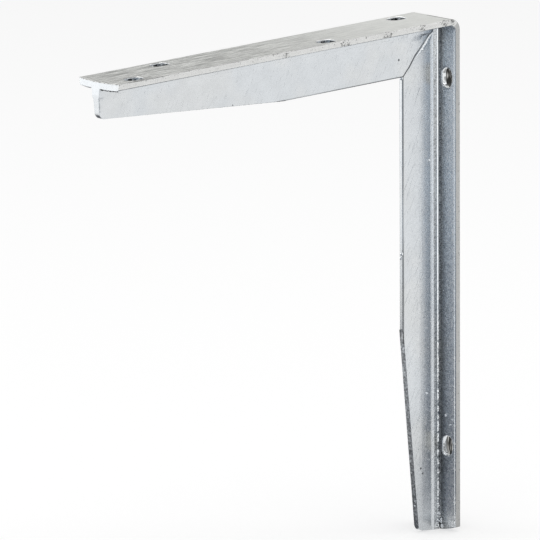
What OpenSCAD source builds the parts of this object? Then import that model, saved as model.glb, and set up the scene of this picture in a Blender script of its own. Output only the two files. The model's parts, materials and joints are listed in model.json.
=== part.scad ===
// Shelf bracket: one length of hot-rolled T bar, its web notched and mitred, its flange bent
// through a right angle, the mitre closed by a weld on one side, and the whole galvanised.
// +X runs out from the wall along the shelf arm, +Z is up, and the web stands in the XZ plane.
// The origin is where the wall plane meets the shelf plane, at the middle of the flange's width.

/* [Arms] */
// Reach of the shelf arm, from the wall face to the flange's corners at its tip
shelf_arm = 250; // [180:1:400]
// Height of the wall arm, from the shelf face to the flange's corners at its lower end
wall_arm = 280; // [230:1:450]

/* [Rolled T section] */
// Width of the flange
flange_w = 30; // [28:0.5:40]
// Depth of the section, from the flange's outer face to the toe of the web
section_depth = 30; // [26:0.5:40]
// Thickness of the flange, a quarter of its width in from the edge
flange_t = 3.8; // [3:0.1:5]
// Thickness of the web, at half the depth of the section
web_t = 3.5; // [2.5:0.1:5]
// Slope of the rolled faces of flange and web, in percent
rolled_slope = 2; // [0:0.5:3]
// How much thicker the web is, on each side, in the band beside the flange
root_band_t = 0.75; // [0.4:0.05:1.2]
// Depth in the section at which the band's full thickness ends
root_band_depth = 8.2; // [7:0.1:12]
// Depth over which the band then falls to the face of the web
root_band_fall = 1.2; // [0.8:0.1:3]
// Radius at the root, where the band meets the flange
root_r = 0.8; // [0.4:0.1:1.5]
// Radius on the inner corner of each flange toe
flange_toe_r = 1.5; // [0.4:0.1:2]
// Radius on the outer corner of each flange toe
flange_edge_r = 0.5; // [0.2:0.1:1]
// Radius on both corners of the web's toe
web_toe_r = 0.8; // [0.2:0.1:1]

/* [Bend] */
// Inner radius of the bend in the flange
bend_inner_r = 2.5; // [1:0.5:8]

/* [Web outline] */
// Distance from the wall face to where the shelf arm's web begins to taper
shelf_taper_from = 116.5; // [60:0.5:150]
// Depth of the section left at the shelf arm's tip
shelf_tip_depth = 20; // [14:0.5:26]
// Distance below the shelf face to where the wall arm's web begins to taper
wall_taper_from = 168; // [60:0.5:200]
// Depth of the section left at the wall arm's lower end
wall_tip_depth = 18.5; // [14:0.5:26]
// Radius on the free corner of the web at both ends
tip_r = 4; // [1:0.5:8]

/* [Sheared ends] */
// How far each end stands out at the root, beyond the corners of the flange
end_crown = 2.7; // [0.5:0.1:4]
// Depth in the section at which the web's end begins to fall back
end_fall_from = 7; // [6:0.5:10]
// How far the web's free corner has then fallen back
end_fall = 1.2; // [0.4:0.1:3]

/* [Mitre] */
// Width of the open seam on the unwelded side
seam_w = 1.2; // [0.6:0.1:2]
// Depth of the open seam
seam_depth = 0.7; // [0.3:0.1:1.2]
// Distance back from the inner corner, in depth, to where the seam begins to step aside
seam_step_from = 5; // [2:0.5:8]
// Depth over which the seam steps aside
seam_step = 5; // [2:0.5:8]
// How far the seam stands off the true mitre line after the step
seam_stray = 0.9; // [0:0.1:1.5]
// Width of the weld bead on the other side
weld_w = 6; // [4:0.5:8]
// Height of the weld bead
weld_h = 1.2; // [0.6:0.1:2]

/* [Slots] */
// Width of each fixing slot
slot_w = 7.5; // [5:0.5:8.5]
// Length of each fixing slot, end to end along its arm
slot_l = 11.5; // [9:0.5:16]
// Radius of the slot's rims, rounded by the zinc
slot_rim_r = 0.6; // [0.2:0.1:0.9]
// Distance of both rows of slots from the middle of the flange
slot_row = 8.75; // [8:0.25:10]
// Shelf arm, +Y row: distance from the wall face to the inner slot
shelf_left_inner = 94.5; // [40:0.5:140]
// Shelf arm, +Y row: distance from the tip to the outer slot
shelf_left_outer = 16; // [12:0.5:30]
// Shelf arm, -Y row: distance from the wall face to the inner slot
shelf_right_inner = 24.5; // [20:0.5:60]
// Shelf arm, -Y row: distance from the tip to the outer slot
shelf_right_outer = 51; // [30:0.5:70]
// Wall arm, +Y row: distance from the shelf face to the upper slot
wall_left_upper = 33; // [20:0.5:60]
// Wall arm, +Y row: distance from the lower end to the lower slot
wall_left_lower = 44.5; // [30:0.5:70]
// Wall arm, -Y row: distance from the shelf face to the upper slot
wall_right_upper = 94.5; // [40:0.5:140]
// Wall arm, -Y row: distance from the lower end to the lower slot
wall_right_lower = 16; // [12:0.5:30]

/* [Hidden] */
$fn = 64;
// How far a cutting shape runs past the metal it cuts
over = 1;
// How far a rounding arc runs past the two lines it joins, so that it crosses each of them once
arc_over = 0.002;
// Angle at which a slot's rounded rim meets the flange's face, in degrees, and the depth left straight
rim_lean = 25;
rim_land = 0.12;
slope = rolled_slope / 100;
bend_r = flange_t + bend_inner_r;

// Depth of the flange's inner face, and half the thickness of the web and of its thicker band, each
// at its place in the section
function flange_face(across) = flange_t + slope * (flange_w / 4 - across);
function web_half(depth) = web_t / 2 + slope * (section_depth / 2 - depth);
function band_half(depth) = web_half(depth) + root_band_t;

// Corners of one half of the section, each as [depth, across]
flange_edge = [0, flange_w / 2];
flange_toe = [flange_face(flange_w / 2), flange_w / 2];
root_depth = (flange_face(0) - slope * band_half(0)) / (1 - slope * slope);
root = [root_depth, band_half(root_depth)];
band_edge = [root_band_depth, band_half(root_band_depth)];
band_foot_depth = root_band_depth + root_band_fall;
band_foot = [band_foot_depth, web_half(band_foot_depth)];
web_toe = [section_depth, web_half(section_depth)];

// Unit vectors along the two rolled faces, away from the root
along_web = [1, -slope] / norm([1, slope]);
along_flange = [-slope, 1] / norm([1, slope]);

// Radius of each end's crown, seen square on to the flange
crown_r = (end_crown * end_crown + flange_w * flange_w / 4) / (2 * end_crown);

// Furthest reach of each arm, at the crown of its end
shelf_reach = shelf_arm + end_crown;
wall_reach = wall_arm + end_crown;

// How fast the web's end falls back with depth
shelf_end_slope = end_fall / (shelf_tip_depth - end_fall_from);
wall_end_slope = end_fall / (wall_tip_depth - end_fall_from);

// The line of each web's end in the side view, from above the flange to the free corner, each
// point as [distance from the wall face, distance below the shelf face]
shelf_end = [shelf_reach + shelf_end_slope * (end_fall_from + over), -over];
shelf_tip = [shelf_reach - end_fall, shelf_tip_depth];
wall_end = [-over, wall_reach + wall_end_slope * (end_fall_from + over)];
wall_tip = [wall_tip_depth, wall_reach - end_fall];

// Run of each taper, for every unit of depth that it takes off
shelf_taper_run = (shelf_tip[0] - shelf_taper_from) / (section_depth - shelf_tip_depth);
wall_taper_run = (wall_tip[1] - wall_taper_from) / (section_depth - wall_tip_depth);

// The seam's points, each as [distance from the wall face, distance below the shelf face]
seam_points = [
    mitre_point(section_depth + over, 0),
    mitre_point(section_depth - seam_step_from, 0),
    mitre_point(section_depth - seam_step_from - seam_step, seam_stray),
    mitre_point(band_foot_depth, 0),
];

// Width of the seam's V where it runs out above the metal
seam_mouth = seam_w * (1 + over / seam_depth);

// Radius of the weld's round top, from its width and height, and the depths at which it ends
weld_r = (weld_h * weld_h + weld_w * weld_w / 4) / (2 * weld_h);
weld_from = (root_depth + band_foot_depth) / 2;
weld_to = section_depth - weld_w / 2;

// A point on the mitre line, moved aside from it, towards the shelf arm, by stray
function mitre_point(depth, stray) = [depth, depth] + stray * [1, -1] / norm([1, 1]);

// Draws its children, and draws them again mirrored about the middle of the section
module both_sides() {
    children();
    mirror([0, 1, 0]) children();
}

// The sliver between a corner and the arc that rounds it, with some of what lies behind the corner;
// a and b are unit vectors along the corner's sides
module corner_patch(corner, a, b, r) {
    open_angle = acos(a * b);
    reach = r / tan(open_angle / 2);
    inward = (a + b) / norm(a + b);
    centre = corner + inward * r / sin(open_angle / 2);
    difference() {
        polygon([corner - over * inward, corner + reach * a, centre, corner + reach * b]);
        translate(centre) circle(r + arc_over);
    }
}

// The T section with its rolled slopes and radii; x is depth from the flange's outer face
module t_section() {
    half = [flange_edge, flange_toe, root, band_edge, band_foot, web_toe];
    mirrored = [for (i = [len(half) - 1:-1:0]) [half[i][0], -half[i][1]]];
    difference() {
        union() {
            polygon(concat(half, mirrored));
            both_sides() corner_patch(root, along_web, along_flange, root_r);
        }
        both_sides() corner_patch(flange_edge, [1, 0], [0, -1], flange_edge_r);
        both_sides() corner_patch(flange_toe, -along_flange, [-1, 0], flange_toe_r);
        both_sides() corner_patch(web_toe, -along_web, [0, -1], web_toe_r);
    }
}

// The flange and root carried round the bend, between the two straight lengths
module bend() {
    translate([bend_r, 0, -bend_r]) rotate([90, 0, 0]) rotate([0, 0, 90])
        rotate_extrude(angle = 90) intersection() {
            translate([bend_r, 0]) mirror([1, 0, 0]) t_section();
            translate([0, -flange_w]) square([bend_r, 2 * flange_w]);
        }
}

// Both straight lengths of T bar and the bend; the webs run on into the mitred corner
module bent_bar() {
    translate([bend_r, 0, 0]) rotate([0, 90, 0])
        linear_extrude(shelf_reach + over - bend_r) t_section();
    translate([0, 0, -wall_reach - over])
        linear_extrude(wall_reach + over - bend_r) t_section();
    bend();
}

// Unit vector from one point towards another
function towards(from, to) = (to - from) / norm(to - from);

// Side view of the finished bracket, drawn [out from the wall, down from the shelf face]
module side_outline() {
    past_toe = section_depth + over;
    shelf_taper = [shelf_taper_from - over * shelf_taper_run, past_toe];
    wall_taper = [past_toe, wall_taper_from - over * wall_taper_run];
    difference() {
        polygon([
            [-over, -over],
            shelf_end,
            shelf_tip,
            shelf_taper,
            [past_toe, past_toe],
            wall_taper,
            wall_tip,
            wall_end,
        ]);
        corner_patch(shelf_tip, towards(shelf_tip, shelf_taper), towards(shelf_tip, shelf_end), tip_r);
        corner_patch(wall_tip, towards(wall_tip, wall_taper), towards(wall_tip, wall_end), tip_r);
    }
}

// What the crown leaves off an end, seen square on to the flange; x = 0 is at the flange's corners
module crown_trim() {
    difference() {
        translate([-over, -flange_w / 2 - over]) square([end_crown + 3 * over, flange_w + 2 * over]);
        translate([end_crown - crown_r, 0]) circle(crown_r);
    }
}

// The metal taken off beyond the crown of both ends
module end_trims() {
    translate([shelf_arm, 0, -section_depth - over])
        linear_extrude(section_depth + 2 * over) crown_trim();
    translate([-over, 0, -wall_arm]) rotate([0, 90, 0])
        linear_extrude(section_depth + 2 * over) crown_trim();
}

// Extrudes a side view across the bracket, from y = from to y = to
module across(from, to) {
    translate([0, to, 0]) rotate([90, 0, 0]) linear_extrude(to - from) mirror([0, 1, 0]) children();
}

// Half of a slot's cross-section; x is distance from its middle line, y depth below the outer face
module slot_section() {
    outward = [cos(rim_lean), sin(rim_lean)];
    outer = slot_rim_r / tan((90 + rim_lean) / 2) * sin(rim_lean) + rim_land;
    inner = flange_face(slot_row) - outer;
    wide = over / tan(rim_lean);
    r = slot_w / 2;
    polygon([
        [0, outer - over],
        [r + wide, outer - over],
        [r, outer],
        [r, inner],
        [r + wide, inner + over],
        [0, inner + over],
    ]);
    corner_patch([r, outer], [0, 1], [outward[0], -outward[1]], slot_rim_r);
    corner_patch([r, inner], [0, -1], outward, slot_rim_r);
}

// One slot, its length along x, cut through a flange whose outer face is at z = 0
module slot_cutter() {
    straight = slot_l - slot_w;
    for (turn = [0, 180]) rotate([0, 0, turn]) translate([straight / 2, 0, 0]) rotate([0, 0, -90])
        rotate_extrude(angle = 180) slot_section();
    rotate([90, 0, 90]) linear_extrude(straight, center = true) {
        slot_section();
        mirror([1, 0, 0]) slot_section();
    }
}

// Every fixing slot in both arms
module slots() {
    for (place = [
        [shelf_left_inner, slot_row],
        [shelf_arm - shelf_left_outer, slot_row],
        [shelf_right_inner, -slot_row],
        [shelf_arm - shelf_right_outer, -slot_row],
    ]) translate([place[0], place[1], 0]) rotate([180, 0, 0]) slot_cutter();
    for (place = [
        [wall_left_upper, slot_row],
        [wall_arm - wall_left_lower, slot_row],
        [wall_right_upper, -slot_row],
        [wall_arm - wall_right_lower, -slot_row],
    ]) translate([0, place[1], -place[0]]) rotate([0, 90, 0]) slot_cutter();
}

// The V-shaped open seam of the mitre, on the +Y side of the web
module seam() {
    for (i = [1:len(seam_points) - 1]) {
        from = seam_points[i - 1];
        to = seam_points[i];
        run = to - from;
        translate([from[0], web_t / 2, -from[1]]) rotate([0, atan2(run[1], run[0]), 0])
            rotate([90, 0, 90]) linear_extrude(norm(run))
                polygon([[-seam_depth, 0], [over, seam_mouth / 2], [over, -seam_mouth / 2]]);
    }
}

// The weld bead along the mitre, on the -Y side of the web
module weld() {
    reach = (weld_to - weld_from) * norm([1, 1]);
    clear = 2 * section_depth;
    intersection() {
        translate([weld_from, weld_r - weld_h - web_t / 2, -weld_from]) rotate([0, 45, 0]) {
            rotate([0, 90, 0]) cylinder(h = reach, r = weld_r);
            sphere(weld_r);
            translate([reach, 0, 0]) sphere(weld_r);
        }
        translate([0, -flange_w / 2, -clear]) cube([clear, flange_w / 2, clear]);
    }
}

// The whole bracket, one piece of metal
module bracket() {
    color([0.72, 0.74, 0.75]) difference() {
        union() {
            intersection() {
                bent_bar();
                across(-flange_w, flange_w) side_outline();
            }
            weld();
        }
        end_trims();
        slots();
        seam();
    }
}

bracket();
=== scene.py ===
"""Looks of the shelf bracket: a galvanised T bar in a plain studio, on a pale floor.

Metres, in the part's own frame, where nothing says millimetres.
"""
import json
import math
import random
from types import SimpleNamespace

import bmesh
import bpy
from mathutils import Matrix, Vector, noise


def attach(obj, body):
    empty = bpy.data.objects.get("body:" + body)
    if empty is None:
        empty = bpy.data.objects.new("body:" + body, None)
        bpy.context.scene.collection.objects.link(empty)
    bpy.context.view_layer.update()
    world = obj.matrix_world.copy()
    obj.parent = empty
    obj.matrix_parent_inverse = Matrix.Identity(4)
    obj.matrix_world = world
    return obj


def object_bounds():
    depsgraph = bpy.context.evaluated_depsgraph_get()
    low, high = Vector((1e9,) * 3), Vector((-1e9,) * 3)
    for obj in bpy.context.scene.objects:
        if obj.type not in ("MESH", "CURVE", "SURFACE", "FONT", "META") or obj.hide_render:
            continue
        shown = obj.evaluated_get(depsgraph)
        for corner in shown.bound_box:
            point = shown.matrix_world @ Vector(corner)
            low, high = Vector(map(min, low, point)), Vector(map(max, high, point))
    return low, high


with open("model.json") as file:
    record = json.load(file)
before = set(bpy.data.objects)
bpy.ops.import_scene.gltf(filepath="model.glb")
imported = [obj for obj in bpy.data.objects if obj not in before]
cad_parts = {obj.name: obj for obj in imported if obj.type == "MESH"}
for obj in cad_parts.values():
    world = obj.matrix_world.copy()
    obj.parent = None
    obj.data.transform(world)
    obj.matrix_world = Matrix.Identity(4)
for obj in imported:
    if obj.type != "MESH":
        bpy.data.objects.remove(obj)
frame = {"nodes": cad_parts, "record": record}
cad_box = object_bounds()
MM = 0.001

# ---------------------------------------------------------------- the part's sizes, in millimetres
# how far each arm reaches, and half the flange's width
SHELF_REACH, WALL_REACH, HALF_FLANGE = (
    round(size / MM, 2) for size in (cad_box[1].x, -cad_box[0].z, cad_box[1].y))
SECTION = 30.0                           # depth of the section
WEB_HALF = 1.6                           # half the web's thickness near its toe
END_CROWN = 2.7                          # how far a sheared end's middle stands out past its sides
END_FALL = 1.2                           # how far the web's free corner falls back from there
SEAM_STRAY = 0.9                         # how far the seam stands off the true mitre, above its step
# each web's taper as where it starts and ends along the arm, and the section's depth there
SHELF_TAPER = (116.5, SHELF_REACH - END_FALL, SECTION, 20.0)
WALL_TAPER = (168.0, WALL_REACH - END_FALL, SECTION, 18.5)
MOUNTS = {mount["name"]: mount for mount in frame["record"]["mounts"]}


def slot_row(name, spacing):
    """The two slots of a row in the record, each as its place along the arm and across the flange."""
    x, across, z = (place / MM for place in MOUNTS[name]["pos_m"])
    half = MOUNTS[name]["dims"][spacing] / 2
    return [(x - z - half, across), (x - z + half, across)]


SHELF_SLOTS = slot_row("shelf_slots_left", "spacing_x_mm") + slot_row("shelf_slots_right", "spacing_x_mm")
WALL_SLOTS = slot_row("wall_slots_left", "spacing_y_mm") + slot_row("wall_slots_right", "spacing_y_mm")
SLOT_HALF_WIDTH = MOUNTS["wall_slots_left"]["dims"]["hole_r_mm"]
SLOT_HALF_STRAIGHT = MOUNTS["wall_slots_left"]["dims"]["slot_length_mm"] / 2 - SLOT_HALF_WIDTH

# ---------------------------------------------------------------- blemishes, at (x, y, z) in millimetres
PITS = [(33, 1.7, -20), (17, 1.6, -247), (15.5, 1.6, -250), (156, 1.05, -26.5), (11, 13.5, 0),
        (10.3, 13.3, 0)]
# knocks on the flange's near edge
KNOCKS = [(130, 15, -2.4), (87, 15, -1.8), (84, 15, -2.8), (53, 15, -2), (56, 15, -1.6), (12, 15, -0.6),
          (9.5, 14.8, -0.2), (6, 15, -1.4), (28, 15, -1.2)]
# burrs beside scratches, each as its middle, its length and its slant in degrees
BURRS = [((10.4, 1.8, -78), 2.6, 40), ((14.4, 1.75, -164), 2.2, -60), ((12.2, 1.75, -170), 1.4, -50),
         ((9.6, 1.85, -96), 1.2, 50), ((12.8, 1.75, -206), 1.8, 35), ((11.2, 1.8, -243), 1.5, -40),
         ((4.0, 11, -223.5), 1.4, 20)]
# single drops of zinc, each as its middle and its radius
DROPS = [((4.1, 7.8, -218.7), 0.75), ((4.0, 12.6, -220.5), 0.6), ((3.9, 11, -106), 0.4),
         ((30, 0.5, -126.5), 0.9), ((30, -0.2, -129), 0.7), ((20.1, 0.6, -265), 0.5),
         ((19.8, 0.2, -267.8), 0.6), ((10.5, 1.75, -78), 0.35), ((3.9, 6, -150), 0.3),
         ((3.9, 9, -180), 0.35), ((12, 14.3, -0.7), 0.5), ((30.3, 0.9, -30.4), 0.95)]

# ---------------------------------------------------------------- camera
LENS, SENSOR = 575.7, 36                 # mm
AZIMUTH, ELEVATION, ROLL = 135.82, 12.68, 0.33   # degrees
DISTANCE = 4.5579                        # m from the camera to the point it looks at
AIM = Vector((0.1285, 0.00053, -0.11945))


def camera_axes(azimuth, elevation, roll):
    """The camera's right, up and backward directions."""
    a, e, r = (math.radians(x) for x in (azimuth, elevation, roll))
    back = Vector((math.sin(a) * math.cos(e), -math.cos(a) * math.cos(e), math.sin(e)))
    right = Vector((math.cos(a), math.sin(a), 0))
    up = back.cross(right)
    return right * math.cos(r) - up * math.sin(r), right * math.sin(r) + up * math.cos(r), back


def make_camera():
    right, up, back = camera_axes(AZIMUTH, ELEVATION, ROLL)
    data = bpy.data.cameras.new("camera")
    data.lens, data.sensor_width = LENS, SENSOR
    data.clip_start, data.clip_end = 0.1, 100
    camera = bpy.data.objects.new("camera", data)
    turn = Matrix((right, up, back)).transposed().to_4x4()
    camera.matrix_world = Matrix.Translation(AIM + back * DISTANCE) @ turn
    bpy.context.scene.collection.objects.link(camera)
    bpy.context.scene.camera = camera


make_camera()


# ---------------------------------------------------------------- node helpers
class Nodes:
    """A node tree, with short ways to add nodes to it and to reckon with sockets and plain numbers."""

    def __init__(self, owner):
        self.tree = owner.node_tree
        self.tree.nodes.clear()

    def add(self, kind, inputs=None, **settings):
        node = self.tree.nodes.new("ShaderNode" + kind)
        for name, value in settings.items():
            setattr(node, name, value)
        for name, value in (inputs or {}).items():
            if isinstance(value, bpy.types.NodeSocket):
                self.tree.links.new(value, node.inputs[name])
            else:
                node.inputs[name].default_value = value
        return node

    def math(self, operation, *values):
        return self.add("Math", dict(enumerate(values)), operation=operation).outputs[0]

    def chain(self, operation, result, *values):
        """The operation on the first two values, then on its result and each further value."""
        for value in values:
            result = self.math(operation, result, value)
        return result

    def plus(self, *values):
        return self.chain("ADD", *values)

    def minus(self, *values):
        return self.chain("SUBTRACT", *values)

    def times(self, *values):
        return self.chain("MULTIPLY", *values)

    def largest(self, *values):
        return self.chain("MAXIMUM", *values)

    def mix(self, factor, a, b):
        return self.add("Mix", {"Factor": factor, "A": a, "B": b}).outputs["Result"]

    def mix_colours(self, factor, a, b):
        inputs = {"Factor": factor, "A": (*a, 1), "B": (*b, 1)}
        return self.add("Mix", inputs, data_type="RGBA").outputs["Result"]

    def ramp(self, value, low, high, out_low=0.0, out_high=1.0, smooth=True):
        """Goes from out_low to out_high as the value goes from low to high, and no further."""
        inputs = {"Value": value, "From Min": low, "From Max": high, "To Min": out_low, "To Max": out_high}
        curve = "SMOOTHSTEP" if smooth else "LINEAR"
        return self.add("MapRange", inputs, interpolation_type=curve).outputs["Result"]

    def below(self, value, low, high):
        """1 up to low, and 0 from high on."""
        return self.ramp(value, low, high, 1.0, 0.0)

    def between(self, value, rise, fall):
        """1 between two soft edges, each given as where it starts and ends."""
        return self.times(self.ramp(value, *rise), self.below(value, *fall))

    def noise(self, vector, scale, detail=2.0, roughness=0.5):
        inputs = {"Vector": vector, "Scale": scale, "Detail": detail, "Roughness": roughness}
        return self.add("TexNoise", inputs).outputs["Fac"]

    def object_place(self):
        return self.add("TexCoord").outputs["Object"]

    def distance(self, a, b):
        return self.add("VectorMath", {0: a, 1: b}, operation="DISTANCE").outputs["Value"]

    def scaled(self, vector, scale):
        return self.add("VectorMath", {0: vector, "Scale": scale}, operation="SCALE").outputs[0]

    def stretched(self, vector, factors):
        return self.add("VectorMath", {0: vector, 1: factors}, operation="MULTIPLY").outputs[0]

    def end(self, shader, output="OutputMaterial"):
        self.tree.links.new(shader.outputs[0], self.add(output).inputs[0])


def new_material(name):
    """A new material and its node tree, still empty."""
    material = bpy.data.materials.new(name)
    material.use_nodes = True
    return material, Nodes(material)


# ---------------------------------------------------------------- zinc, whose nodes measure in millimetres
def zinc_place(n):
    """Where a point lies on the bracket."""
    place = n.scaled(n.object_place(), 1 / MM)
    xyz = n.add("SeparateXYZ", {"Vector": place})
    x, y, z = (xyz.outputs[c] for c in "XYZ")
    drop = n.times(z, -1.0)
    return SimpleNamespace(
        place=place, x=x, y=y, drop=drop,
        along=n.largest(x, drop),                # distance from the corner, along either arm
        depth=n.math("MINIMUM", x, drop),        # depth in the section, from the flange's outer face
        aside=n.math("ABSOLUTE", y),
        on_wall=n.math("GREATER_THAN", drop, x))


def zinc_patterns(n, at):
    """Streaks of rolling, fine grain, soft clouds and slanting scratches."""
    rolled = n.add("CombineXYZ", {"X": n.times(at.along, 0.05), "Y": at.y, "Z": at.depth}).outputs[0]
    slant = {"Vector": at.place, "Axis": (0, 1, 0), "Angle": math.radians(28)}
    slanting = n.stretched(n.add("VectorRotate", slant).outputs[0], (1.6, 1.0, 0.07))
    return SimpleNamespace(
        streaks=n.noise(rolled, 0.9, 4.0, 0.65),
        fine_streaks=n.noise(rolled, 3.0, 3.0, 0.6),
        waves=n.noise(rolled, 0.3),
        grain=n.noise(at.place, 1.5, 3.0, 0.6),
        spangle=n.noise(at.place, 0.7, 3.0, 0.65),
        clouds=n.noise(at.place, 0.12, 3.0),
        scratches=n.ramp(n.noise(slanting, 1.1), 0.64, 0.7))


def spots(n, at, middles, size, ragged=0.0):
    """1 in spots of the given size round the middles, 0 elsewhere; ragged is added to the distance."""
    mask = 0.0
    for middle in middles:
        away = n.plus(n.distance(at.place, middle), ragged)
        mask = n.largest(mask, n.below(away, size * 0.8, size * 1.1))
    return mask


def zinc_marks(n, at, look):
    """1 in the nicks and knocks of the flange's edges, and in the pits."""
    rim = n.times(n.ramp(at.aside, 13.6, 14.6), n.below(at.depth, 1.2, 2.4))
    nicks = n.times(rim, n.ramp(n.noise(at.place, 0.8, 4.0, 0.7), 0.6, 0.65))
    ragged = n.times(n.minus(look.spangle, 0.5), 9.0)
    knocks = n.times(spots(n, at, KNOCKS, 1.7, ragged), n.ramp(look.grain, 0.5, 0.56))
    return n.largest(nicks, knocks, spots(n, at, PITS, 0.6))


def slot_walls(n, at, slots):
    """Distance from the nearest slot's side wall, above 0 outside it."""
    nearest = 99.0                       # further than any slot's
    for middle, row in slots:
        beyond = n.minus(n.math("ABSOLUTE", n.minus(at.along, middle)), SLOT_HALF_STRAIGHT)
        beyond = n.largest(beyond, 0.0)
        beside = n.minus(at.y, row)
        reach = n.math("SQRT", n.plus(n.times(beyond, beyond), n.times(beside, beside)))
        nearest = n.math("MINIMUM", nearest, n.minus(reach, SLOT_HALF_WIDTH))
    return nearest


def in_slots(n, at):
    """1 on the walls of the slots."""
    away = n.mix(at.on_wall, slot_walls(n, at, SHELF_SLOTS), slot_walls(n, at, WALL_SLOTS))
    return n.times(n.below(away, 0.02, 0.3), n.between(at.depth, (0.5, 1.1), (4.0, 4.3)))


def slot_painted_shade_and_glints(n, at):
    """The tone of the slots' walls: patches of painted shade and painted glints, and on the shelf arm a
    painted highlight over the half nearer the tip.
    """
    shelf = n.ramp(n.noise(at.place, 0.3), 0.45, 0.54, 0.1, 0.7)
    for middle, _ in SHELF_SLOTS:
        away = n.math("ABSOLUTE", n.minus(at.x, middle + 3.4))
        shelf = n.mix(n.below(away, 2.6, 3.2), shelf, 1.3)
    wall = n.ramp(n.noise(at.place, 0.5), 0.4, 0.55, 0.4, 1.2)
    return n.mix(at.on_wall, shelf, wall)


def in_seam(n, at):
    """1 in the mitre's open seam, which stands off the true line above its step."""
    off_mitre = n.times(n.minus(at.x, at.drop), math.sqrt(0.5))
    stray = n.ramp(at.depth, 20.0, 25.0, SEAM_STRAY, 0.0, smooth=False)
    off_seam = n.math("ABSOLUTE", n.minus(off_mitre, stray))
    return n.times(n.below(off_seam, 0.2, 0.45), n.between(at.y, (0.8, 1.0), (2.7, 3.0)))


def zinc_areas(n, at, look):
    """Masks, each 1 on its place and 0 elsewhere."""
    bend_depth = n.ramp(at.along, 6.0, 7.5, 0.6, 0.0)    # how much deeper the inner face is in the bend
    return SimpleNamespace(
        outer=n.below(at.depth, 0.2, 0.5),               # the flange's outer faces
        inner=n.times(n.ramp(at.depth, 3.4, 3.6), n.below(n.minus(at.depth, bend_depth), 4.1, 4.3),
                      n.ramp(at.aside, 2.9, 3.2)),       # its inner faces
        edge=n.ramp(at.aside, 14.3, 14.8),               # its two edges
        crest=n.times(n.between(at.x, (4.85, 5.05), (6.1, 6.3)), n.ramp(at.aside, 3.1, 3.2), at.on_wall),
        marks=zinc_marks(n, at, look))


def zinc_tone(n, at, look, on):
    """How bright the zinc is: 1 is clean and bright. Beside the wall arm's web come, in this order, a painted
    highlight on the root band's step, the fillet of its root with painted shade, a painted highlight on the
    crest of zinc on that and a painted shadow behind it."""
    rolled = n.times(n.ramp(look.streaks, 0.41, 0.57, 0.5, 1.12),
                     n.ramp(look.fine_streaks, 0.4, 0.58, 0.64, 1.1))
    # rolling streaks on the outer faces, stronger and darker towards the tip; near the corner the outer faces
    # are lighter
    streaked_toward_tip = n.times(on.outer, n.ramp(at.along, 20.0, 200.0, 0.1, 1.1))
    near_corner = n.times(on.outer, n.below(at.along, 20.0, 120.0))
    # painted shade and light on the inner faces, with the zinc's grain and spangle: darker near the root,
    # under the bend and at the very foot, lighter towards the flange's edges and in bands along the arm
    mottle_and_painted_shade = n.times(
        n.ramp(at.aside, 4.4, 9.0, 0.46, 1.02), n.ramp(at.aside, 7.0, 14.0, 1.0, 1.4),
        n.ramp(look.grain, 0.34, 0.66, 0.65, 1.35), n.ramp(look.spangle, 0.36, 0.64, 0.88, 1.12),
        n.ramp(at.drop, 240.0, 265.0, 1.0, 1.4), n.ramp(at.drop, 275.0, 281.0, 1.0, 0.5),
        n.ramp(at.drop, 60.0, 150.0, 1.2, 1.0), n.ramp(at.drop, 5.0, 20.0, 0.6, 1.0),
        n.ramp(at.aside, 3.2, 4.4, 1.5, 1.0))
    # painted highlight on the step of the wall arm's root band
    step_painted_highlight = n.times(n.between(at.x, (7.9, 8.2), (8.6, 8.9)), n.ramp(at.aside, 2.1, 2.3), at.on_wall)
    fillet = n.times(n.between(at.x, (4.9, 5.2), (7.7, 8.1)), n.below(at.aside, 3.8, 4.0),
                     n.minus(1.0, on.crest))
    shaded = n.times(n.below(at.x, 7.7, 8.1), n.ramp(at.drop, 15.0, 45.0, 0.5, 1.0),
                     n.ramp(at.drop, 180.0, 230.0, 1.0, 0.6))
    fillet_tone = n.times(n.ramp(look.spangle, 0.38, 0.6, 0.8, 1.3), n.ramp(look.grain, 0.4, 0.6, 0.9, 1.2),
                          n.mix(shaded, 1.0, 0.6))
    # painted highlight along the crest of zinc, turning to grain on its beaded lower part
    crest_painted_highlight = n.mix(n.ramp(at.drop, 120.0, 220.0), 1.3, n.ramp(look.grain, 0.4, 0.55, 0.6, 1.3))
    # painted shadow in a thin line behind the crest
    crest_painted_shadow = n.times(n.between(at.x, (4.3, 4.5), (4.8, 5.0)), n.below(at.aside, 4.3, 4.5), at.on_wall)
    toe_lines = n.times(n.ramp(at.depth, 29.1, 29.35), n.ramp(at.aside, 0.75, 1.0),
                        n.ramp(look.waves, 0.35, 0.55, 0.5, 1.0))
    bend_line = n.times(n.between(at.x, (4.2, 4.8), (6.6, 7.0)), n.ramp(at.y, -6.0, -2.0),
                        n.below(at.drop, 0.5, 0.8))
    tone = n.times(n.ramp(look.clouds, 0.3, 0.7, 0.95, 1.0), n.ramp(look.grain, 0.3, 0.7, 0.95, 1.0))
    # tints, with painted light among them: painted shade and light on the inner faces, the fillet and the
    # slots, painted highlights on the step, the crest and the slots' walls, and a painted shadow behind the
    # crest
    for mask, tint in ((streaked_toward_tip, rolled), (n.times(on.edge, at.on_wall), 0.66), (on.inner, mottle_and_painted_shade),
                       (fillet, fillet_tone), (near_corner, 1.12), (in_slots(n, at), slot_painted_shade_and_glints(n, at)),
                       (in_seam(n, at), 0.3), (toe_lines, 0.4), (bend_line, 0.4), (on.crest, crest_painted_highlight),
                       (step_painted_highlight, 1.25), (crest_painted_shadow, 0.25), (on.marks, 0.25)):
        tone = n.times(tone, n.mix(mask, 1.0, tint))
    return tone


def zinc_rough(n, look, on, cut):
    """The roughness of the surface."""
    rough = n.plus(n.ramp(look.spangle, 0.35, 0.65, 0.2, 0.3), n.times(on.outer, 0.1),
                   n.times(on.inner, 0.04), n.times(on.marks, 0.25), 0.2 if cut else 0.0)
    return n.mix(on.crest, rough, 0.12)


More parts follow.
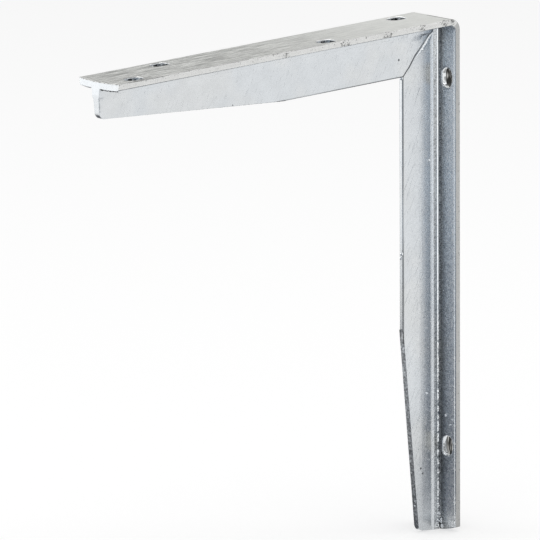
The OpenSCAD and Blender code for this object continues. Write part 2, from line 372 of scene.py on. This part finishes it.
def zinc_height(n, at, look, on):
    """The height of the surface, where 1 is 0.05 mm."""
    grainy = n.mix(on.inner, n.ramp(at.depth, 8.0, 14.0, 0.6, 0.22), 1.5)
    grainy = n.times(grainy, n.mix(on.crest, 1.0, 0.3))
    height = n.plus(n.times(n.plus(look.grain, n.times(look.spangle, 1.2)), grainy), n.times(look.waves, 1.2),
                    n.times(look.fine_streaks, on.outer, 0.8))
    return n.minus(height, n.times(on.marks, 3.0), n.times(look.scratches, 0.7))


def galvanised_steel(name, cut=False, wet=False):
    """Bright zinc on hot-rolled steel, on its rough cut edges, or run together while wet."""
    material, n = new_material(name)
    at = zinc_place(n)
    look = zinc_patterns(n, at)
    on = zinc_areas(n, at, look)
    if wet:
        specks = n.ramp(look.grain, 0.38, 0.5, 0.12, 1.15)
        near_foot = n.ramp(at.drop, 270.0, 273.0)
        tone = n.times(n.ramp(look.spangle, 0.35, 0.65, 1.05, 1.25), n.mix(near_foot, 1.0, specks))
        rough = n.ramp(look.spangle, 0.35, 0.65, 0.1, 0.2)
    else:
        tone = zinc_tone(n, at, look, on)
        rough = zinc_rough(n, look, on, cut)
    if cut:
        # painted shadow under the end of the shelf arm's near flange
        painted_shadow_under_tip = n.times(n.ramp(at.x, 249.0, 249.5), n.ramp(at.y, 2.6, 2.9))
        tone = n.times(tone, n.ramp(look.spangle, 0.4, 0.6, 0.6, 1.2), n.mix(painted_shadow_under_tip, 1.0, 0.2))
    tone = n.times(tone, n.ramp(at.drop, 190.0, 265.0, 1.0, 0.82))
    warm = n.largest(on.outer, on.edge, n.ramp(n.noise(at.place, 0.03), 0.45, 0.65, 0.0, 0.4))
    colour = n.mix_colours(warm, (0.735, 0.765, 0.79), (0.76, 0.765, 0.755))
    rounded = n.add("Bevel", {"Radius": n.mix(on.crest, 0.25 * MM, 0.04 * MM)}, samples=4).outputs[0]
    bump = n.add("Bump", {"Height": zinc_height(n, at, look, on), "Strength": 1.0, "Distance": 0.05 * MM,
                          "Normal": rounded}).outputs[0]
    n.end(n.add("BsdfPrincipled", {"Base Color": n.scaled(colour, tone), "Metallic": 1.0, "Roughness": rough,
                                   "Normal": bump}))
    return material


ZINC = galvanised_steel("galvanised_steel")
CUT_ZINC = galvanised_steel("galvanised_cut_edge", cut=True)
WET_ZINC = galvanised_steel("galvanised_run", wet=True)
for material_slot in frame["nodes"]["bracket"].material_slots:
    material_slot.material = ZINC


# ---------------------------------------------------------------- mesh helpers, which work in millimetres
def wobble(x, y, z):
    """Smooth noise about 0 at a point."""
    return noise.noise(Vector((x, y, z)))


def piece(name, bm, material=ZINC):
    """Turns a bmesh in millimetres into a piece of the bracket."""
    bmesh.ops.scale(bm, vec=(MM, MM, MM), verts=bm.verts)
    bmesh.ops.recalc_face_normals(bm, faces=bm.faces)
    mesh = bpy.data.meshes.new(name)
    bm.to_mesh(mesh)
    bm.free()
    for face in mesh.polygons:
        face.use_smooth = True
    mesh.materials.append(material)
    obj = bpy.data.objects.new(name, mesh)
    bpy.context.scene.collection.objects.link(obj)
    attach(obj, "root")


def swept(bm, rows):
    """Joins rows of points, each row the same count long, into one open strip of faces."""
    made = [[bm.verts.new(p) for p in row] for row in rows]
    for a, b in zip(made, made[1:]):
        for k in range(len(a) - 1):
            bm.faces.new((a[k], a[k + 1], b[k + 1], b[k]))


def strips(name, *all_rows, material=ZINC):
    """A piece made of open strips of faces."""
    bm = bmesh.new()
    for rows in all_rows:
        swept(bm, rows)
    piece(name, bm, material)


def ball(bm, centre, shape):
    """A closed ball about a centre; shape gives where each point of a unit ball goes from there."""
    for v in bmesh.ops.create_icosphere(bm, subdivisions=3, radius=1.0)["verts"]:
        v.co = shape(v.co.copy()) + Vector(centre)


def zinc_ball(bm, centre, radii):
    """One drop of zinc: an uneven ball of the given half sizes along X, Y and Z."""
    def shape(unit):
        swell = 1 + 0.12 * noise.noise(unit * 1.7 + Vector(centre))
        return Vector((unit.x * radii[0], unit.y * radii[1], unit.z * radii[2])) * swell
    ball(bm, centre, shape)


def lumpy_wire(bm, path, radius, seed):
    """A thin uneven thread of metal along a path of points, with closed ends."""
    sides, last = 8, len(path) - 1
    rings = []
    for i, p in enumerate(path):
        ahead = (Vector(path[min(i + 1, last)]) - Vector(path[max(i - 1, 0)])).normalized()
        one = ahead.orthogonal().normalized()
        two = ahead.cross(one)
        uneven = 1 + 0.9 * wobble(i * 0.37, seed, 0.5)
        thick = radius * uneven * min(1.0, 0.3 + i / 3, 0.3 + (last - i) / 3)
        rings.append([bm.verts.new(Vector(p) + (one * math.cos(t) + two * math.sin(t)) * thick)
                      for t in (2 * math.pi * k / sides for k in range(sides))])
    for a, b in zip(rings, rings[1:]):
        for k in range(sides):
            m = (k + 1) % sides
            bm.faces.new((a[k], a[m], b[m], b[k]))
    bm.faces.new(rings[0][::-1])
    bm.faces.new(rings[-1])


def share(value, start, end):
    """How far a value has come from start to end, from 0 to 1."""
    return min(max((value - start) / (end - start), 0.0), 1.0)


def spaced(first, last, steps):
    """Evenly spaced numbers from first to last, with both of these."""
    return [first + (last - first) * i / steps for i in range(steps + 1)]


def taper(along_arm, start, end, full, left):
    """Depth of the section at a place along an arm where it tapers from full to left."""
    return full + (left - full) * (along_arm - start) / (end - start)


def crown(y):
    """How far back from its furthest reach an arm's sheared end lies at a distance from the middle."""
    return END_CROWN * (y / HALF_FLANGE) ** 2


# ---------------------------------------------------------------- what the zinc bath and the shears left
def cut_edge(name, run, place_of):
    """The torn face that the shears left along a web's taper, as far as its rounded corner."""
    start, end = run[:2]
    step, across = 0.35, 9               # length of a face, and how many lie side by side
    rows = []
    for i in range(int((end - start - 6) / step)):
        along_arm = start + 0.5 + i * step
        row = []
        for k, y in enumerate(spaced(-WEB_HALF, WEB_HALF, across)):
            tear = noise.fractal(Vector((along_arm * 0.9, y * 1.6, 3.1)), 0.8, 2.2, 3)
            inward = min(k, across - k) / 1.5
            rise = min(inward, 1.0, i / 12) * (0.16 + 0.2 * tear) - 0.06
            row.append(place_of(along_arm, y, taper(along_arm, *run) + rise))
        rows.append(row)
    strips(name, rows, material=CUT_ZINC)


def root_fillet(name, side):
    """The leaning fillet of the wall arm's root, and the thin run of zinc on its crest, beaded lower down."""
    rows = []
    top, bottom, step = -4.0, 0.9 - WALL_REACH, 0.5
    for i in range(int((top - bottom) / step) + 1):
        z = top - step * i
        beaded = share(-z, 140.0, 220.0)
        lump = wobble(0.3, side * 5.0, z * 0.8) + 0.5 * wobble(4.3, side * 5.0, z * 1.9)
        crest = 0.44 + 0.03 * wobble(7.0, side, z * 0.1) + beaded * max(lump, -0.4) * 0.7
        wave = 0.04 * wobble(2.0, side, z * 0.2)
        lean = 0.45 + 0.25 * share(z, -150.0, -50.0)     # it leans most near the corner
        foot_y = 2.8 + lean + wave
        crest_x = 5.1 + 0.97 * (foot_y - 2.94)
        row = [(8.35, 2.35), (8.1, 2.62), (7.8, 2.76 + wave), (7.65, 2.79 + wave), (7.5, 2.8 + wave),
               (crest_x + 0.8, foot_y), (crest_x + 0.55, foot_y), (crest_x + 0.45, foot_y + crest * 0.08),
               (crest_x - 0.2, foot_y + crest * 0.9), (crest_x - 0.32, foot_y + crest * 0.94),
               (crest_x - 0.42, foot_y + crest * 0.4), (crest_x - 0.45, foot_y), (3.78, foot_y + 0.3)]
        rows.append([(x, side * y, z) for x, y in row])
    strips(name, rows)


def root_ease(name, side):
    """The zinc that eased the root band's step along the shelf arm. Both its ends sink into the metal."""
    rows = []
    start, end = 14.0, SHELF_REACH - 1.1
    for x in spaced(start, end, 400):
        wave = 0.05 * wobble(x * 0.15, side, 9.0)
        sunk = 0.7 * max(x - (end - 3), 0.0) / 3 + 0.7 * max(start + 3 - x, 0.0) / 3
        row = [(5.0, 2.6), (7.0, 2.68), (8.0, 2.66 + wave), (9.3, 2.3 + wave), (10.6, 1.97 + wave),
               (11.8, 1.75), (12.4, 1.6)]
        rows.append([(x, side * (y - sunk), -depth) for depth, y in row])
    strips(name, rows)


def burrs():
    """The bright dashes beside scratches: thin raised burrs, each about 2 mm long."""
    bm = bmesh.new()
    for centre, length, slant in BURRS:
        turn = Matrix.Rotation(math.radians(slant), 3, "Y")
        ball(bm, centre, lambda unit: turn @ Vector((unit.x * length / 2, unit.y * 0.85, unit.z * 0.34)))
    piece("burrs", bm, WET_ZINC)


def shear_burrs():
    """The burrs that the shears turned over on the inner edges of both arms' ends, and down the web's tip."""
    bm = bmesh.new()
    for side in (-1, 1):
        across = spaced(2.9, 14.3, 40)
        tip = [(SHELF_REACH - 0.45 - crown(y), side * y, -3.9) for y in across]
        foot = [(3.85, side * y, -WALL_REACH + 0.4 + crown(y)) for y in across]
        lumpy_wire(bm, tip, 0.34 + 0.06 * side, side)
        lumpy_wire(bm, foot, 0.16, side + 5)
    web = [(SHELF_REACH - 0.5 - 1.2 * (d - 3.0) / 16, 1.7 + max(8.0 - d, 0.0) * 0.22, -d)
           for d in spaced(4.6, 16.6, 48)]
    lumpy_wire(bm, web, 0.3, 3.0)
    piece("shear_burrs", bm, CUT_ZINC)


def toe_beads():
    """The fine bead of zinc along the inner edge of the wall arm's flange, with drops in its lower half."""
    all_rows = []
    for side in (-1, 1):
        rows = []
        for z in spaced(-9.0, -279.0, 540):
            beaded = share(-z, 150.0, 210.0)
            lump = max(wobble(9.0, side, z * 0.7) - 0.1, 0.0)
            thick = 0.24 + 0.12 * beaded + 0.06 * wobble(3.0, side, z * 0.3) + beaded * lump * 0.8
            rows.append([(3.66 + thick * math.sin(t), side * (13.9 + thick * math.cos(t)), z)
                         for t in spaced(-0.5, 7 / 6 * math.pi - 0.5, 7)])
        all_rows.append(rows)
    strips("toe_beads", *all_rows, material=WET_ZINC)


def seam_lip():
    """The bright lip that grinding left beside the upper half of the open seam, on the wall arm's side."""
    rows = []
    first, last = 8.0, 21.5
    for depth in spaced(first, last, 60):
        wide = 1.3 * min((last + 0.1 - depth) / 6, 1.0) * (1 + 0.35 * wobble(depth * 1.3, 1.0, 2.0))
        row = []
        for a in spaced(0, math.pi, 6):
            off = (SEAM_STRAY - 0.5 - wide + wide * math.cos(a)) * math.sqrt(0.5)
            row.append((depth + off, 1.72 + 0.35 * wide * math.sin(a), -depth + off))
        rows.append(row)
    strips("seam_lip", rows, material=WET_ZINC)


def slot_lips():
    """The lip of zinc round the wall arm's slots, thickest where it drained to their lower ends."""
    bm = bmesh.new()
    for down, row in WALL_SLOTS:
        rings = []
        for a in spaced(0, 2 * math.pi, 96):
            around = Vector((0, math.cos(a), math.sin(a)))
            lump = noise.noise(around * 2 + Vector((down, 0, 0)))
            thick = 0.34 - 0.2 * around.z - 0.1 * around.y + 0.12 * lump
            centre = Vector((3.55, row, -down + math.copysign(SLOT_HALF_STRAIGHT, around.z)))
            centre += around * (SLOT_HALF_WIDTH + 0.05)
            rings.append([centre + (around * math.cos(t) + Vector((1, 0, 0)) * math.sin(t)) * thick
                          for t in spaced(0, 2 * math.pi, 10)])
        swept(bm, rings)
    bmesh.ops.remove_doubles(bm, verts=bm.verts, dist=1e-4)
    piece("slot_lips", bm, WET_ZINC)


def zinc_foot_clot():
    """The clot of zinc where the wall arm drained, at the foot of its root."""
    rng = random.Random(4)
    bm = bmesh.new()
    for _ in range(40):
        down = rng.random() ** 0.6
        z = -273.0 - 8.2 * down
        spread = 0.4 + 2.4 * down
        x = 4.4 + rng.uniform(-0.3, 1.0) * spread
        y = 2.9 + rng.uniform(-0.4, 0.9) * spread
        size = rng.uniform(0.45, 0.95)
        zinc_ball(bm, (x, y if x < 4.8 or y < 3.2 else 2.7, z), (size, size, size * rng.uniform(0.8, 1.3)))
    piece("zinc_foot_clot", bm, WET_ZINC)


def zinc_drops():
    """Single drops of zinc here and there."""
    bm = bmesh.new()
    for centre, size in DROPS:
        zinc_ball(bm, centre, (size, size, size * 1.1))
    piece("zinc_drops", bm, WET_ZINC)


def weld_ripples():
    """The scales of the weld bead, laid from the root out to the toe of the mitre, on the -Y side."""
    bm = bmesh.new()
    first, last, pitch = 6.5, 26.0, 1.35
    tilt = Matrix.Rotation(math.radians(45), 3, "Y") @ Matrix.Rotation(math.radians(-18), 3, "Z")
    for i in range(int((last - first) / pitch) + 1):
        at = first + pitch * i
        wide = 2.8 + 0.5 * wobble(at, 0.4, 0.2)
        ball(bm, (at, -1.6, -at), lambda unit: tilt @ Vector((unit.x * 1.25, unit.y * 1.65, unit.z * wide)))
    piece("weld_ripples", bm)


cut_edge("cut_edge_wall", WALL_TAPER, lambda along_arm, y, depth: (depth, y, -along_arm))
cut_edge("cut_edge_shelf", SHELF_TAPER, lambda along_arm, y, depth: (along_arm, y, -depth))
root_fillet("root_fillet_left", 1)
root_fillet("root_fillet_right", -1)
root_ease("root_ease_left", 1)
root_ease("root_ease_right", -1)
burrs()
shear_burrs()
toe_beads()
seam_lip()
slot_lips()
zinc_foot_clot()
zinc_drops()
weld_ripples()


# ---------------------------------------------------------------- studio, in metres
FLOOR = cad_box[0].z
STAND = Vector((0.02, 0, FLOOR))         # where the wall arm stands
CAMERA_SIDE = AZIMUTH - 90               # bearing of the camera from the bracket, 0 along +X, 90 along +Y
DARK = (0.23, 0.25, 0.29)                # what the web's side and the flange's inner face mirror


def round_stand(bearing, radius, height):
    """A point round the stand, at a bearing in degrees from the camera's side."""
    a = math.radians(CAMERA_SIDE + bearing)
    return STAND + Vector((math.cos(a) * radius, math.sin(a) * radius, height))


def seen(n):
    """1 for the rays that should see the white background: the camera's, and those by metal or glass."""
    rays = n.add("LightPath").outputs
    return n.largest(rays["Is Camera Ray"], rays["Is Glossy Ray"], rays["Is Transmission Ray"])


def make_world():
    world = bpy.data.worlds.new("studio")
    bpy.context.scene.world = world
    world.use_nodes = True
    n = Nodes(world)
    strength = n.ramp(seen(n), 0, 1, 0.6, 1.0, smooth=False)
    n.end(n.add("Background", {"Color": (1, 1, 1, 1), "Strength": strength}), "OutputWorld")


def stage_mesh(name, points, faces, material):
    mesh = bpy.data.meshes.new(name)
    mesh.from_pydata(points, [], faces)
    mesh.materials.append(material)
    obj = bpy.data.objects.new(name, mesh)
    bpy.context.scene.collection.objects.link(obj)
    return obj


def make_floor():
    """Pale floor: half its white is its own to the eye, so it shows white and still keeps the shadow."""
    material, n = new_material("floor")
    eye = seen(n)
    colour = n.ramp(eye, 0, 1, 0.85, 0.5, smooth=False)
    grey = n.add("CombineXYZ", {"X": colour, "Y": colour, "Z": colour}).outputs[0]
    paint = n.add("BsdfDiffuse", {"Color": grey}).outputs[0]
    glow = n.add("Emission", {"Color": (1, 1, 1, 1), "Strength": n.times(eye, 0.55)}).outputs[0]
    n.end(n.add("AddShader", {0: paint, 1: glow}))
    half = 8
    corners = [(-half, -half, FLOOR), (half, -half, FLOOR), (half, half, FLOOR), (-half, half, FLOOR)]
    stage_mesh("floor", corners, [(0, 1, 2, 3)], material)


def card(name, bearings, radii, heights, colour, far_colour=None):
    """A curved card round the stand, from one bearing, radius and height to the others, which only
    reflections see. Its colour may fade to another over the first metre or so from the stand."""
    material, n = new_material(name)
    material.cycles.emission_sampling = "NONE"
    away = n.ramp(n.distance(n.object_place(), STAND), 0.35, 1.15)
    n.end(n.add("Emission", {"Color": n.mix_colours(away, colour, far_colour or colour), "Strength": 1.0}))
    steps = 24
    points = [round_stand(bearing, radius, height)
              for bearing in spaced(*bearings, steps) for radius, height in zip(radii, heights)]
    faces = [(2 * i, 2 * i + 1, 2 * i + 3, 2 * i + 2) for i in range(steps)]
    obj = stage_mesh(name, points, faces, material)
    obj.visible_camera = obj.visible_diffuse = obj.visible_transmission = obj.visible_shadow = False


def slot_shade(name, across, grey, for_eye):
    """Small dim glowing cards inside the wall arm's slots, seen only from the front, with their edges in the
    metal: painted shade.
    One set, with faint painted streaks of reflection, is what the eye sees through a slot; the other is what
    the web mirrors."""
    material, n = new_material(name)
    material.cycles.emission_sampling = "NONE"
    gleam = 1.0
    if for_eye:
        # painted streaks of reflection on the card that the eye sees through the slots
        streaked = n.stretched(n.object_place(), (0, 700, 160))
        gleam = n.ramp(n.noise(streaked, 1.0, 1.0), 0.44, 0.68, 0.25, 4.0)
    front = n.add("Emission", {"Color": (grey, grey, grey * 0.97, 1), "Strength": gleam}).outputs[0]
    clear = n.add("BsdfTransparent").outputs[0]
    n.end(n.add("MixShader", {0: n.add("NewGeometry").outputs["Backfacing"], 1: front, 2: clear}))
    (y_from, y_to), half = across, 6     # half is half its height
    points, faces = [], []
    for down, row in WALL_SLOTS:
        faces.append(tuple(len(points) + k for k in range(4)))
        corners = ((y_from, -half), (y_to, -half), (y_to, half), (y_from, half))
        points += [Vector((0.65, row + y, -down + z)) * MM for y, z in corners]
    obj = stage_mesh(name, points, faces, material)
    obj.visible_diffuse = obj.visible_shadow = obj.visible_transmission = False
    obj.visible_camera, obj.visible_glossy = for_eye, not for_eye


def softbox(name, bearing, radius, height, width, radiance):
    """A square area lamp that faces the stand; radiance is how bright its face looks, where 1 is white."""
    data = bpy.data.lights.new(name, "AREA")
    data.shape, data.size = "SQUARE", width
    data.energy = radiance * math.pi * width * width
    obj = bpy.data.objects.new(name, data)
    centre = round_stand(bearing, radius, height)
    turn = (STAND - centre).to_track_quat("-Z", "Y").to_matrix().to_4x4()
    obj.matrix_world = Matrix.Translation(centre) @ turn
    obj.visible_camera = False
    bpy.context.scene.collection.objects.link(obj)


make_world()
make_floor()
softbox("top_softbox", 0, 0.3, 2.4, 1.8, 1.6)
softbox("left_softbox", -100, 1.9, 1.4, 1.0, 1.4)
softbox("right_softbox", 100, 1.9, 1.4, 1.0, 1.0)
card("bright_left", (-140, -48), (0.95, 0.95), (0.0, 1.2), (1.32, 1.32, 1.32))
card("grey_back", (125, 215), (1.7, 1.7), (0.0, 1.5), (0.71, 0.715, 0.695))
card("dark_front", (-36, 24), (1.5, 1.5), (0.0, 1.1), DARK)
card("dark_floor", (-36, 24), (0.0, 1.5), (0.0005, 0.0005), DARK, far_colour=(0.78, 0.88, 0.98))
card("dark_under", (-196, 20), (0.0, 0.5), (0.0003, 0.0003), (0.13, 0.135, 0.145))
slot_shade("slot_shade", (-4.0, 1.0), 0.12, for_eye=True)
slot_shade("slot_mirror_shade", (-0.5, 4.0), 0.52, for_eye=False)
card("dark_gap", (-150, 120), (1.6, 1.5), (1.25, 2.3), (0.16, 0.16, 0.17))

bpy.context.scene.view_settings.view_transform = "Standard"
